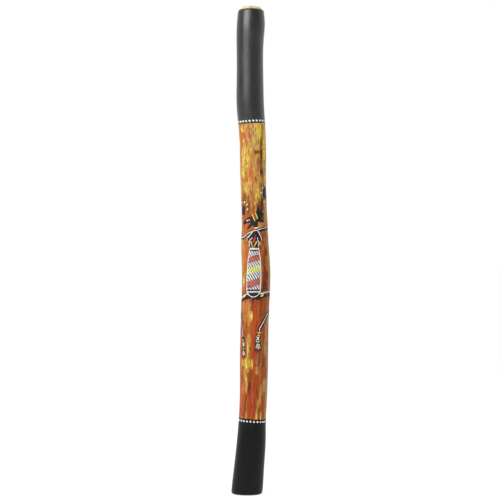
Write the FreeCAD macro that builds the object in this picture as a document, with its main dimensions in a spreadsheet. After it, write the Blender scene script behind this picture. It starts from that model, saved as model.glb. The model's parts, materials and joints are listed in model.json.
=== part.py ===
import FreeCAD, Part
import math
import os

import Sketcher

# A painted wooden didgeridoo, standing on its bell end. Millimetres, +Z up along the log, origin under the
# middle of its bounding box, front towards -Y. A place on the painted skin is an azimuth in degrees, 0 at the
# front and positive towards +X, and a height above the foot.

doc = FreeCAD.newDocument("didgeridoo")
Vector = FreeCAD.Vector
UP = Vector(0, 0, 1)

# ---------------------------------------------------------------- driving dimensions

# The log's crooked outside, from the foot to the rim:
# height, sway of the centre towards +X and +Y, half width along X, half depth along Y.
LOG_STATIONS = {
    "foot": (0, -10.8, 0.0, 37.5, 38.6),
    "bell": (29, -7.9, 0.0, 38.3, 39.4),
    "flare": (78, -3.5, -0.5, 36.8, 38.4),
    "throat": (128, 0.7, -1.0, 35.7, 36.9),
    "lower_band": (178, 3.1, -1.5, 33.6, 34.8),
    "calf": (227, 5.5, -2.0, 33.6, 34.6),
    "shin": (351, 7.7, -1.0, 34.4, 35.6),
    "hip": (476, 11.1, 1.5, 34.2, 35.8),
    "belly": (545, 12.9, 2.5, 35.0, 36.4),
    "ribs": (610, 10.2, 3.0, 34.1, 35.4),
    "chest": (649, 9.5, 2.5, 32.2, 33.6),
    "neck": (724, 7.0, 2.0, 31.0, 32.2),
    "upper": (798, 5.3, 1.0, 31.9, 32.8),
    "crest": (872, 4.3, 0.0, 32.4, 33.2),
    "upper_band": (918, 1.2, -0.5, 33.2, 34.0),
    "sleeve": (947, -1.0, -1.0, 33.6, 34.6),
    "grip_low": (1009, -2.2, -1.5, 32.9, 34.2),
    "grip": (1071, -2.3, -1.5, 32.5, 33.6),
    "grip_high": (1121, -1.9, -1.0, 33.6, 34.4),
    "shoulder": (1158, -0.2, -0.5, 34.4, 35.0),
    "crown": (1177, 0.0, 0.0, 33.1, 33.6),
    "rim": (1193, 0.0, 0.0, 31.0, 31.6),
}

# The termite-eaten bore, wider at the bell and not quite following the outside:
# height, sway towards +X and +Y, half width along X, half depth along Y.
BORE_STATIONS = {
    "bore_foot": (0, -10.4, 0.3, 28.0, 28.6),
    "bore_bell": (45, -6.6, 0.8, 26.6, 27.8),
    "bore_flare": (110, -0.9, -0.8, 25.4, 26.0),
    "bore_calf": (200, 4.6, -1.6, 23.2, 24.4),
    "bore_shin": (330, 7.0, -1.8, 22.0, 22.6),
    "bore_hip": (450, 10.3, 0.8, 20.8, 22.0),
    "bore_belly": (550, 11.9, 2.2, 20.6, 21.0),
    "bore_chest": (650, 9.2, 2.8, 19.2, 20.2),
    "bore_upper": (780, 5.9, 0.9, 18.8, 19.4),
    "bore_band": (915, 1.6, -0.4, 18.2, 19.0),
    "bore_grip": (1050, -2.0, -1.2, 18.0, 18.6),
    "bore_rim": (1193, 0.0, 0.0, 18.8, 19.2),
}

SIZES = {
    # paint films
    "coat": 0.4,
    "mark": 0.3,
    "line": 0.25,
    # rounded ends of the log
    "rim_round": 6.0,
    "foot_round": 5.0,
    "coat_foot_gap": 1.0,
    # where the black ends meet the brushed middle, and the slant of those edges
    "upper_edge": 910.5,
    "upper_slant": 2.8,
    "lower_edge": 187.0,
    "lower_slant": -3.3,
    # rings of raised dots
    "dot_radius": 2.35,
    "dot_rise": 0.85,
    "dot_offset": 6.5,
    # beeswax mouthpiece
    "wax_bore": 15.0,
    "wax_outer": 26.4,
    "wax_rise": 7.0,
    "wax_depth": 17.0,
    "wax_inner_round": 3.2,
    "wax_outer_round": 6.5,
    # painted animal: its egg-shaped body
    "body_height": 556.0,
    "body_azimuth": -8.5,
    "body_lean": -1.5,
    "body_top": 50.0,
    "body_top_half": 11.0,
    "body_belly": 53.5,
    "body_belly_half": 17.6,
    "body_side_radius": 380.0,
    "outline": 1.8,
    "band_slant": 16.0,
}
UPPER_DOTS = 24
LOWER_DOTS = 25
ROOM = 240  # across the plain blocks that trim the paint, well clear of the log on every side
STATION_FIELDS = ("height", "sway", "lean", "width", "depth")

sheet = doc.addObject("Spreadsheet::Sheet", "sizes")


def fill_sheet():
    """One row per dimension: its name, and its value under an alias of that name."""
    rows = dict(SIZES)
    for stations in (LOG_STATIONS, BORE_STATIONS):
        for station, values in stations.items():
            for field, value in zip(STATION_FIELDS, values):
                rows[f"{station}_{field}"] = value
    for row, (name, value) in enumerate(rows.items(), start=1):
        sheet.set(f"A{row}", name)
        sheet.set(f"B{row}", str(value))
        sheet.setAlias(f"B{row}", name)
    doc.recompute()


fill_sheet()


def size(name):
    return float(sheet.get(name))


# ---------------------------------------------------------------- the log's outside and bore


def origin_plane(body, role="XY_Plane"):
    return next(f for f in body.Origin.OriginFeatures if f.Role == role)


def draw_oval(sketch, station, grow="0"):
    """A level oval with its long axis front to back, `grow` larger all round than the station's."""
    half_depth, half_width = size(f"{station}_depth"), size(f"{station}_width")
    outline = Part.Ellipse(Vector(0, half_depth, 0), Vector(half_width, 0, 0), Vector(0, 0, 0))
    sketch.addGeometry(outline, False)
    sketch.exposeInternalGeometry(0)
    long_axis, short_axis, centre = 1, 2, 3
    sketch.addConstraint(Sketcher.Constraint("Coincident", 0, centre, -1, 1))
    sketch.addConstraint(Sketcher.Constraint("Vertical", long_axis))
    depth = sketch.addConstraint(Sketcher.Constraint("Distance", long_axis, 2 * half_depth))
    width = sketch.addConstraint(Sketcher.Constraint("Distance", short_axis, 2 * half_width))
    sketch.setExpression(f"Constraints[{depth}]", f"2 * (sizes.{station}_depth + {grow})")
    sketch.setExpression(f"Constraints[{width}]", f"2 * (sizes.{station}_width + {grow})")
    return sketch


def end_edge(feature, height):
    """Number of the edge that lies flat at a height."""
    for number, edge in enumerate(feature.Shape.Edges, start=1):
        box = edge.BoundBox
        if abs(box.ZMin - height) < 1e-3 and abs(box.ZMax - height) < 1e-3:
            return number
    raise ValueError(f"no level edge at {height}")


def log_form(name, grow="0"):
    """The log's outside as a filled solid, `grow` larger round its sides and over its rim."""
    sketches = []
    for station in LOG_STATIONS:
        sketch = doc.addObject("Sketcher::SketchObject", f"{name}_{station}")
        draw_oval(sketch, station, grow)
        raised = f" + {grow}" if station == "rim" else ""
        sketch.setExpression(".Placement.Base.x", f"sizes.{station}_sway")
        sketch.setExpression(".Placement.Base.y", f"sizes.{station}_lean")
        sketch.setExpression(".Placement.Base.z", f"sizes.{station}_height{raised}")
        sketches.append(sketch)
    side = doc.addObject("Part::Loft", f"{name}_side")
    side.Sections = sketches
    side.Solid = True
    doc.recompute()
    form = doc.addObject("Part::Fillet", name)
    form.Base = side
    rim_radius = size("rim_round") + side.Shape.BoundBox.ZMax - size("rim_height")
    foot_radius = size("foot_round")
    rim_edge = end_edge(side, side.Shape.Faces[-1].BoundBox.ZMax)
    foot_edge = end_edge(side, 0)
    form.Edges = [(rim_edge, rim_radius, rim_radius), (foot_edge, foot_radius, foot_radius)]
    doc.recompute()
    return form


def hollow_log(outside):
    """The log itself: the outside, with the bore lofted out of it from end to end."""
    body = doc.addObject("PartDesign::Body", "hollow_log")
    body.BaseFeature = outside
    doc.recompute()
    sketches = []
    for station in BORE_STATIONS:
        sketch = body.newObject("Sketcher::SketchObject", station)
        sketch.AttachmentSupport = (origin_plane(body), [""])
        sketch.MapMode = "FlatFace"
        draw_oval(sketch, station)
        sketch.setExpression(".AttachmentOffset.Base.x", f"sizes.{station}_sway")
        sketch.setExpression(".AttachmentOffset.Base.y", f"sizes.{station}_lean")
        sketch.setExpression(".AttachmentOffset.Base.z", f"sizes.{station}_height")
        sketches.append(sketch)
    bore = body.newObject("PartDesign::SubtractiveLoft", "bore")
    bore.Profile = sketches[0]
    bore.Sections = sketches[1:]
    doc.recompute()
    return body


wood_form = log_form("wood_form")
coat_form = log_form("coat_form", "sizes.coat")
mark_form = log_form("mark_form", "(sizes.coat + sizes.mark)")
line_form = log_form("line_form", "(sizes.coat + sizes.mark + sizes.line)")
log = hollow_log(wood_form)


# ---------------------------------------------------------------- booleans and placing


def named(obj, label):
    obj.Label = label
    return obj


def boolean(kind, name, base, tool):
    obj = doc.addObject(kind, name)
    obj.Base, obj.Tool = base, tool
    obj.Refine = False
    return obj


def cut(name, base, tool):
    return boolean("Part::Cut", name, base, tool)


def common(name, base, tool):
    return boolean("Part::Common", name, base, tool)


def fuse(name, shapes):
    if len(shapes) == 1:
        return shapes[0]
    obj = doc.addObject("Part::MultiFuse", name)
    obj.Shapes = shapes
    obj.Refine = False
    return obj


def compound(name, links):
    obj = doc.addObject("Part::Compound", name)
    obj.Links = links
    return obj


def axis_at(height):
    """The middle of the log at a height, straight between the two nearest stations."""
    stations = [(size(f"{s}_height"), size(f"{s}_sway"), size(f"{s}_lean")) for s in LOG_STATIONS]
    for low, high in zip(stations, stations[1:]):
        if low[0] <= height <= high[0]:
            share = (height - low[0]) / (high[0] - low[0])
            sway = low[1] + share * (high[1] - low[1])
            lean = low[2] + share * (high[2] - low[2])
            return Vector(sway, lean, height)
    raise ValueError(f"{height} is off the log")


def outward(azimuth):
    angle = math.radians(azimuth)
    return Vector(math.sin(angle), -math.cos(angle), 0)


def on_skin(azimuth, height):
    """The point on the side of the coated log at an azimuth and height."""
    middle = axis_at(height)
    side = max(coat_form.Shape.Faces, key=lambda face: face.Area).Surface
    crossings, _ = Part.Line(middle, middle + outward(azimuth)).intersectCS(side)
    points = [Vector(point.X, point.Y, point.Z) for point in crossings]
    return max(points, key=lambda point: (point - middle).dot(outward(azimuth)))


def facing(azimuth, turn=0):
    """Turns a flat shape so that it faces outwards, its own X to the right and its own Y up."""
    stand_up = FreeCAD.Rotation(Vector(1, 0, 0), 90)
    around = FreeCAD.Rotation(UP, azimuth)
    return around * stand_up * FreeCAD.Rotation(UP, turn)


# ---------------------------------------------------------------- beeswax mouthpiece


def wax_profile(body):
    """Half section of the ring: a round bead on the rim and a lining a little way down the bore."""
    bore, outer = size("wax_bore"), size("wax_outer")
    rim = size("rim_height")
    top, bottom = rim + size("wax_rise"), rim - size("wax_depth")
    inner_round, outer_round = size("wax_inner_round"), size("wax_outer_round")
    bite = 3
    inside_wood = size("bore_rim_depth") + bite
    overlap = rim - 1  # the log is cut out of the ring afterwards, so the ring follows its rounded rim
    slope = math.sqrt(0.5)
    corners = [
        Vector(bore, bottom, 0),
        Vector(bore, top - inner_round, 0),
        Vector(bore + inner_round, top, 0),
        Vector(outer - outer_round, top, 0),
        Vector(outer, top - outer_round, 0),
        Vector(outer, overlap, 0),
        Vector(inside_wood, overlap, 0),
        Vector(inside_wood, bottom, 0),
    ]
    inner_middle = Vector(bore + inner_round * (1 - slope), top - inner_round * (1 - slope), 0)
    outer_middle = Vector(outer - outer_round * (1 - slope), top - outer_round * (1 - slope), 0)
    sketch = body.newObject("Sketcher::SketchObject", "wax_profile")
    sketch.AttachmentSupport = (origin_plane(body, "XZ_Plane"), [""])
    sketch.MapMode = "FlatFace"
    arcs = {1: inner_middle, 3: outer_middle}
    for number, start in enumerate(corners):
        end = corners[(number + 1) % len(corners)]
        if number in arcs:
            sketch.addGeometry(Part.Arc(start, arcs[number], end), False)
        else:
            sketch.addGeometry(Part.LineSegment(start, end), False)
    return sketch


def beeswax_mouthpiece():
    body = doc.addObject("PartDesign::Body", "wax_blank")
    sketch = wax_profile(body)
    ring = body.newObject("PartDesign::Revolution", "wax_ring")
    ring.Profile = sketch
    ring.ReferenceAxis = (sketch, ["V_Axis"])
    ring.Angle = 360
    doc.recompute()
    return named(cut("wax_in_log", body, log), "beeswax_mouthpiece")


mouthpiece = beeswax_mouthpiece()

# ---------------------------------------------------------------- black ends and brushed middle


def slab(name, edge, slant, above):
    """All the space above or below a slanting edge round the log."""
    box = doc.addObject("Part::Box", name)
    tall = 1300
    box.Length = box.Width = ROOM
    box.Height = tall
    start = 0 if above else -tall
    tilt = FreeCAD.Rotation(Vector(0, 1, 0), -size(slant))
    corner = tilt.multVec(Vector(-ROOM / 2, -ROOM / 2, start))
    box.Placement = FreeCAD.Placement(corner + Vector(0, 0, size(edge)), tilt)
    return box


def end_trim():
    """What the paint stops short of: the seat of the wax ring, and the last of the foot's round edge."""
    beyond = 20
    seat = doc.addObject("Part::Cylinder", "wax_seat")
    seat.setExpression("Radius", "sizes.wax_outer")
    seat.Height = 2 * beyond
    seat.setExpression(".Placement.Base.z", f"sizes.rim_height - {beyond}")
    floor = doc.addObject("Part::Box", "bare_foot")
    floor.Length = floor.Width = ROOM
    floor.setExpression("Height", f"sizes.coat_foot_gap + {beyond}")
    floor.Placement.Base = Vector(-ROOM / 2, -ROOM / 2, -beyond)
    return compound("end_trim", [seat, floor])


film = cut("coat_film", cut("coat_shell", coat_form, wood_form), end_trim())
above = slab("above_upper_edge", "upper_edge", "upper_slant", True)
below = slab("below_lower_edge", "lower_edge", "lower_slant", False)
mouth_coat = named(common("mouth_coat", film, above), "mouth_end_black_coat")
bell_coat = named(common("bell_coat", film, below), "bell_end_black_coat")
ground_coat = named(
    cut("ground_coat", film, compound("beyond_edges", [above, below])), "brushed_ground_coat"
)
doc.recompute()


def dot_ring(name, count, edge, slant, side):
    """Raised dots of paint on the black, all round, along a slanting edge."""
    rise, radius = size("dot_rise"), size("dot_radius")
    ball = (radius**2 + rise**2) / (2 * rise)
    caps = []
    for number in range(count):
        azimuth = 360 * (number + 0.5) / count
        reach = size("upper_band_width") * math.sin(math.radians(azimuth))
        height = size(edge) + side * size("dot_offset") + reach * math.tan(math.radians(size(slant)))
        sphere = doc.addObject("Part::Sphere", f"{name}_ball_{number}")
        sphere.setExpression(
            "Radius", "(sizes.dot_radius ^ 2 + sizes.dot_rise ^ 2) / (2 * sizes.dot_rise)"
        )
        skin = on_skin(azimuth, height)
        sphere.Placement = FreeCAD.Placement(skin - outward(azimuth) * (ball - rise), facing(azimuth, 45))
        caps.append(cut(f"{name}_cap_{number}", sphere, coat_form))
    return compound(name, caps)


upper_dots = dot_ring("upper_dot_ring", UPPER_DOTS, "upper_edge", "upper_slant", 1)
lower_dots = dot_ring("lower_dot_ring", LOWER_DOTS, "lower_edge", "lower_slant", -1)

# ---------------------------------------------------------------- painted animal


def paint_layer(name, form, under):
    """A layer of paint between two forms, over the stretch that carries the animal."""
    lowest, highest = 320, 790
    stretch = doc.addObject("Part::Box", f"{name}_stretch")
    stretch.Length = stretch.Width = ROOM
    stretch.Height = highest - lowest
    stretch.Placement.Base = Vector(-ROOM / 2, -ROOM / 2, lowest)
    return common(name, cut(f"{name}_shell", form, under), stretch)


mark_layer = paint_layer("mark_layer", mark_form, coat_form)
line_layer = paint_layer("line_layer", line_form, mark_form)
doc.recompute()
PRISM_REACH = 9  # how far a flat shape reaches into and out of the side


def link(start, end, away):
    """A prism outlined like one dab of a brush, between two (point, half width) ends, facing away."""
    (a, half_a), (b, half_b) = start, end
    along = b - a
    facing_away = FreeCAD.Rotation(along, away.cross(along), away, "XZY")
    lean = math.acos((half_a - half_b) / along.Length)
    side = Vector(math.cos(lean), math.sin(lean), 0)
    mirror = Vector(side.x, -side.y, 0)
    far = Vector(along.Length, 0, 0)
    outline = [
        Part.Arc(side * half_a, Vector(-half_a, 0, 0), mirror * half_a),
        Part.LineSegment(mirror * half_a, far + mirror * half_b),
        Part.Arc(far + mirror * half_b, far + Vector(half_b, 0, 0), far + side * half_b),
        Part.LineSegment(far + side * half_b, side * half_a),
    ]
    face = Part.Face(Part.Wire([curve.toShape() for curve in outline]))
    face.translate(Vector(0, 0, -PRISM_REACH))
    solid = face.extrude(Vector(0, 0, 2 * PRISM_REACH))
    solid.transformShape(FreeCAD.Placement(a, facing_away).toMatrix())
    return solid


def stroke(name, route, first, last):
    """A brush stroke along (azimuth, height) points, its half width going from first to last."""
    points = [on_skin(azimuth, height) for azimuth, height in route]
    steps = len(route) - 1
    halves = [first + (last - first) * n / steps for n in range(len(route))]
    links = []
    for n in range(steps):
        middle = (route[n][0] + route[n + 1][0]) / 2
        links.append(link((points[n], halves[n]), (points[n + 1], halves[n + 1]), outward(middle)))
    feature = doc.addObject("Part::Feature", name)
    feature.Shape = links[0].multiFuse(links[1:]) if steps > 1 else links[0]
    return feature


def prism(name, outline):
    """A flat outline pushed both ways, far enough to pass through every layer of paint."""
    solid = doc.addObject("Part::Extrusion", name)
    solid.Base = outline
    solid.DirMode = "Normal"
    solid.LengthFwd = solid.LengthRev = PRISM_REACH
    solid.Solid = True
    return solid


def dab(name, azimuth, height, long_half, short_half, turn=0):
    """An oval dab of paint, its long side turned anticlockwise from level."""
    outline = doc.addObject("Part::Ellipse", f"{name}_outline")
    outline.MajorRadius, outline.MinorRadius = long_half, short_half
    outline.Placement = FreeCAD.Placement(on_skin(azimuth, height), facing(azimuth, turn))
    return prism(name, outline)


def painted(label, shapes, layer):
    """One named sub-part: the shapes together, as thick as the layer and following the log."""
    return named(common(f"{label}_film", fuse(f"{label}_shapes", shapes), layer), label)


# the egg-shaped body: a white edge round slanting bands


def body_outline():
    """A level top, two long side arcs and a round belly."""
    top, top_half = size("body_top"), size("body_top_half")
    belly, belly_half = size("body_belly"), size("body_belly_half")
    radius = size("body_side_radius")
    right = [Vector(belly_half, -belly, 0), Vector(top_half, top, 0)]
    chord = right[1] - right[0]
    bulge = radius - math.sqrt(radius**2 - (chord.Length / 2) ** 2)
    middle = (right[0] + right[1]) / 2 + Vector(chord.y, -chord.x, 0).normalize() * bulge
    left = [Vector(-point.x, point.y, 0) for point in right]
    left_middle = Vector(-middle.x, middle.y, 0)
    sketch = doc.addObject("Sketcher::SketchObject", "body_outline")
    sketch.addGeometry(Part.Arc(left[0], Vector(0, -belly - belly_half, 0), right[0]), False)
    sketch.addGeometry(Part.Arc(right[0], middle, right[1]), False)
    sketch.addGeometry(Part.LineSegment(right[1], left[1]), False)
    sketch.addGeometry(Part.Arc(left[1], left_middle, left[0]), False)
    sketch.Placement = FreeCAD.Placement(body_middle, body_facing)
    return sketch


body_middle = on_skin(size("body_azimuth"), size("body_height"))
body_facing = facing(size("body_azimuth"), size("body_lean"))
outline_sketch = body_outline()
doc.recompute()
inside_outline = doc.addObject("Part::Offset2D", "inside_outline")
inside_outline.Source = outline_sketch
inside_outline.setExpression("Value", "-sizes.outline")
whole_body = prism("whole_body", outline_sketch)
inner_body = prism("inner_body", inside_outline)
body_edge = painted("kangaroo_body_outline", [cut("body_rim", whole_body, inner_body)], mark_layer)
body_panel = common("body_panel", inner_body, mark_layer)


def band(name, low, high, slant=None):
    """A slice across the body between two heights from its middle, slanting up to the right."""
    box = doc.addObject("Part::Box", name)
    across, deep = 90, 2 * PRISM_REACH
    box.Length, box.Width, box.Height = across, high - low, deep
    turned = facing(size("body_azimuth"), size("band_slant") if slant is None else slant)
    start = body_facing.multVec(Vector(0, low, 0))
    corner = turned.multVec(Vector(-across / 2, 0, -deep / 2))
    box.Placement = FreeCAD.Placement(body_middle + start + corner, turned)
    return box


red_slices = fuse("red_slices", [band("upper_red", 16, 30), band("lower_red", -45, -29)])
yellow_slice = band("middle_yellow", -10.5, 2.5)
dark_slices = fuse(
    "dark_slices",
    [band("top_dark", 42, 45, 0), band("bottom_dark", -56, -52, 0), band("dark_tip", -75, -59.5, 0)],
)
red_bands = named(common("red_bands", body_panel, red_slices), "kangaroo_body_red_bands")
yellow_band = named(common("yellow_band", body_panel, yellow_slice), "kangaroo_body_yellow_band")
dark_bands = named(common("dark_bands", body_panel, dark_slices), "kangaroo_body_dark_bands")
other_slices = compound("other_slices", [red_slices, yellow_slice, dark_slices])
cream_bands = named(cut("cream_bands", body_panel, other_slices), "kangaroo_body_cream_bands")

# the dark head, chest, limbs and tail; the limbs pass round the sides of the log


def clear_of_body(label, shapes):
    """A dark sub-part whose shapes stop at the body's white edge."""
    trimmed = cut(f"{label}_trimmed", fuse(f"{label}_strokes", shapes), whole_body)
    return painted(label, [trimmed], mark_layer)


head = painted(
    "kangaroo_head",
    [
        stroke("muzzle", [(4, 676), (-20, 675), (-52, 667)], 9.5, 4.2),
        stroke("jaw", [(-10, 665), (-33, 652)], 5, 1.4),
        stroke("throat_stroke", [(2, 675), (5, 656)], 7.5, 4.6),
        stroke("front_ear", [(14, 686), (20, 709)], 6.5, 1.5),
        stroke("back_ear", [(22, 685), (36, 699)], 7, 3),
        stroke("crest_stroke", [(-4, 684), (22, 684), (32, 679)], 9.5, 7.5),
        stroke("upper_tuft", [(28, 685), (42, 690)], 5.5, 2.2),
        stroke("middle_tuft", [(30, 679), (44, 681)], 6, 2.4),
        stroke("lower_tuft", [(27, 674), (41, 670.5)], 5.5, 2.2),
    ],
    mark_layer,
)
chest_piece = clear_of_body(
    "kangaroo_chest",
    [
        stroke("upper_breast", [(4, 645.5), (2, 629)], 5.5, 11),
        stroke("breast", [(2, 629), (-5, 608)], 11, 12),
        stroke("left_wing", [(-3, 642), (-16, 635.5), (-31, 626)], 5, 3.6),
        stroke("right_wing", [(11, 642), (18, 635.5), (24, 626)], 5, 3.6),
    ],
)
left_arm = painted(
    "kangaroo_left_arm",
    [
        stroke("left_upper_arm", [(-8, 645.5), (-30, 640), (-54, 629.5), (-84, 631)], 3.6, 3.2),
        stroke("left_forearm", [(-84, 631), (-104, 650), (-98, 674), (-76, 690), (-60, 699)], 3, 2.6),
        dab("left_paw", -56, 698, 13, 7.2, 98),
    ],
    mark_layer,
)
right_arm = painted(
    "kangaroo_right_arm",
    [
        stroke("right_upper_arm", [(17, 649), (54, 653.5), (86, 659.5)], 4.8, 4),
        stroke("right_forearm", [(86, 659.5), (108, 680), (104, 708), (84, 730), (66, 741)], 3.4, 3),
        dab("right_paw", 60, 741, 16.5, 8, 95),
    ],
    mark_layer,
)
left_leg = clear_of_body(
    "kangaroo_left_leg",
    [
        stroke("left_thigh", [(-26, 489), (-48, 485), (-76, 477), (-104, 463)], 7.5, 5.8),
        stroke("left_knee", [(-104, 463), (-112, 450), (-96, 442), (-72, 434)], 5.8, 4),
        stroke("left_shank", [(-72, 434), (-60, 408), (-51, 388)], 4, 3.4),
        stroke("left_foot", [(-50.5, 385), (-48, 366), (-45, 348)], 4.4, 6.2),
        stroke("left_outer_toe", [(-53, 346), (-55.5, 337)], 2.2, 0.9),
        stroke("left_middle_toe", [(-46, 346), (-46.5, 332)], 2.2, 0.9),
        stroke("left_inner_toe", [(-39, 346), (-37, 334)], 2.2, 0.9),
    ],
)
right_leg = clear_of_body(
    "kangaroo_right_leg",
    [
        stroke("right_thigh", [(6, 484), (30, 489), (60, 493.5), (90, 491), (112, 476)], 6.4, 5.5),
        stroke("right_knee", [(112, 476), (114, 460), (92, 450), (66, 445)], 5.5, 5),
        stroke("right_shank", [(66, 445), (54, 438.5), (35, 422), (20, 408), (18, 397)], 5.4, 4.8),
        stroke("right_foot", [(16.5, 396), (14.5, 382), (14.5, 366)], 5.2, 7.4),
        stroke("right_outer_toe", [(25.5, 364), (31, 354)], 2.3, 1),
        stroke("right_long_toe", [(18, 364), (20.5, 350)], 2.3, 1),
        stroke("right_middle_toe", [(11.5, 364), (12, 349.5)], 2.3, 1),
        stroke("right_inner_toe", [(5, 364), (3.5, 351.5)], 2.3, 1),
    ],
)
tail = clear_of_body("kangaroo_tail", [stroke("tail_tip", [(-8, 486), (-11, 472)], 3.5, 1.3)])
claws = painted(
    "kangaroo_white_claws",
    [
        dab("left_claw_1", -69, 718, 2.6, 1.7, 100),
        dab("left_claw_2", -46, 718, 2.8, 1.8, 80),
        dab("left_claw_3", -33, 712, 2.7, 1.8, 60),
        dab("left_claw_4", -31, 700, 2.8, 1.7, 45),
        dab("left_claw_5", -77, 684, 2.4, 1.6, 110),
        dab("right_claw_1", 65, 761.5, 2.7, 1.7, 60),
        dab("right_claw_2", 46, 753, 3, 1.7, 100),
        dab("right_claw_3", 37, 740.5, 2.7, 1.7, 150),
        dab("right_claw_4", 52, 719, 2.7, 1.7, 80),
    ],
    mark_layer,
)

# thin lines and small bright marks over the dark pieces

white_lines = painted(
    "kangaroo_white_lines",
    [
        dab("left_eye", -34, 672.5, 2.8, 1.6, 70),
        dab("right_eye", -24, 674.3, 2.8, 1.6, 70),
        stroke("collar", [(0, 654.3), (10, 654.8)], 1.7, 1.7),
        stroke("breast_bow", [(-4, 648.3), (12.5, 648.3)], 1, 1),
        stroke("left_breast_line", [(-4, 648.2), (-18, 638.7), (-33, 628.7), (-37, 623)], 1, 0.9),
        stroke("right_breast_line", [(12.5, 648.2), (20, 638.7), (26.5, 631), (27.5, 623.6)], 1, 0.9),
        stroke("left_wing_line", [(-10, 630), (-23.5, 623.7), (-23.5, 608)], 0.9, 0.9),
        stroke("right_wing_line", [(9, 631), (13.5, 622), (20, 615)], 0.9, 1),
        stroke("right_flank_line", [(13, 617), (12.6, 608)], 0.9, 0.9),
        stroke("left_arm_line", [(-10, 646), (-31, 640.8), (-54, 630.8), (-84, 632)], 1, 0.9),
        stroke("right_arm_line", [(14, 650.5), (54, 655.5), (86, 661.5)], 1, 0.9),
        stroke("left_thigh_line", [(-30, 494), (-50, 489.8), (-78, 482)], 1.1, 1),
        stroke("right_thigh_line", [(19, 493), (34, 495.8), (60, 498), (88, 495.5)], 1.3, 1.1),
        stroke("left_shank_line", [(-71, 431), (-60, 408), (-52, 389)], 0.8, 1.1),
        stroke("right_shank_line", [(66, 446), (54, 439.5), (35, 423), (20, 408.5), (18.5, 401)], 1.1, 1.1),
        stroke("left_cross_up", [(-52, 365), (-43.5, 372)], 1.1, 1.1),
        stroke("left_cross_down", [(-52, 372), (-43.5, 365)], 1.1, 1.1),
        stroke("right_cross_up", [(8.5, 379.8), (19, 388.4)], 1.1, 1.1),
        stroke("right_cross_down", [(8.5, 388.4), (19, 379.8)], 1.1, 1.1),
        stroke("left_instep_outer", [(-48.5, 352.5), (-52.5, 344)], 0.6, 1),
        stroke("left_instep_middle", [(-45.5, 353), (-46, 342.5)], 0.6, 1),
        stroke("left_instep_inner", [(-42.5, 352.5), (-39.5, 344)], 0.6, 1),
        stroke("right_instep_far", [(19.5, 371.5), (24, 361)], 0.6, 1),
        stroke("right_instep_outer", [(16.4, 372), (18.2, 359)], 0.6, 1),
        stroke("right_instep_inner", [(13.2, 372), (12.2, 359)], 0.6, 1),
        stroke("right_instep_near", [(10.2, 371.5), (6.4, 361)], 0.6, 1),
    ],
    line_layer,
)
yellow_marks = painted(
    "kangaroo_yellow_marks",
    [
        stroke("front_neck_stripe", [(-8.5, 688), (1, 672.5)], 1.2, 1.4),
        stroke("back_neck_stripe", [(5.3, 691), (12.6, 678)], 1.2, 1.4),
        stroke("left_breast_leaf", [(-17, 621), (-11, 609)], 1.8, 0.9),
        stroke("right_breast_leaf", [(6.5, 621), (-4.5, 609)], 1.8, 0.9),
        dab("left_thigh_leaf", -52, 487, 6.6, 2.2, 20),
        dab("right_thigh_leaf", 27, 489.5, 5.8, 2.3, 35),
        stroke("right_ankle_top", [(12, 398), (24, 398)], 1.4, 1.4),
        stroke("right_ankle_middle", [(11, 391.8), (21, 391.8)], 1.3, 1.3),
        stroke("right_ankle_bottom", [(8.5, 376), (19.5, 376)], 1.4, 1.4),
        stroke("left_ankle_top", [(-55, 380.2), (-47, 380.2)], 1.2, 1.2),
        stroke("left_ankle_middle", [(-54.5, 374.9), (-46.5, 374.9)], 0.9, 0.9),
        stroke("left_ankle_bottom", [(-52, 360.2), (-43, 360.2)], 1.1, 1.1),
        stroke("left_ankle_last", [(-51, 355.9), (-42, 355.9)], 1, 1),
    ],
    line_layer,
)
red_marks = painted(
    "kangaroo_red_marks",
    [
        stroke("neck_stripe", [(-2, 690), (7.3, 675.5)], 1.7, 1.7),
        stroke("breast_leaf", [(4, 637), (-5.5, 621.5)], 0.8, 3),
        dab("left_thigh_spot", -66, 481.8, 5.5, 2.2, 20),
        dab("right_thigh_spot", 52, 492.2, 5, 2, 10),
        stroke("right_ankle_red", [(12, 394.9), (23, 394.9)], 0.8, 0.8),
        stroke("left_ankle_red", [(-55, 377.4), (-47, 377.4)], 0.8, 0.8),
    ],
    line_layer,
)
doc.recompute()

# ---------------------------------------------------------------- one STEP file per sub-part

SUB_PARTS = [
    log,
    mouthpiece,
    mouth_coat,
    bell_coat,
    ground_coat,
    upper_dots,
    lower_dots,
    body_edge,
    cream_bands,
    red_bands,
    yellow_band,
    dark_bands,
    head,
    chest_piece,
    left_arm,
    right_arm,
    left_leg,
    right_leg,
    tail,
    claws,
    white_lines,
    yellow_marks,
    red_marks,
]

os.makedirs("parts", exist_ok=True)
for obj in doc.Objects:
    if "Invalid" in obj.State or "Error" in obj.State:
        raise RuntimeError(f"{obj.Label}: {obj.State}")
for ring, count in ((upper_dots, UPPER_DOTS), (lower_dots, LOWER_DOTS)):
    if len(ring.Shape.Solids) != count:
        raise RuntimeError(f"{ring.Label}: {len(ring.Shape.Solids)} dots, not {count}")
for obj in SUB_PARTS:
    if obj.Shape.isNull() or not obj.Shape.isValid() or not obj.Shape.Solids:
        raise RuntimeError(f"{obj.Label}: no sound solid")
    obj.Shape.exportStep(f"parts/{obj.Label}.step")
    print(obj.Label, len(obj.Shape.Solids), round(obj.Shape.Volume, 1))
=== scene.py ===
import json
import math
import random

import bpy
import numpy as np
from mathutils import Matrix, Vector, noise
from mathutils.bvhtree import BVHTree


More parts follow.
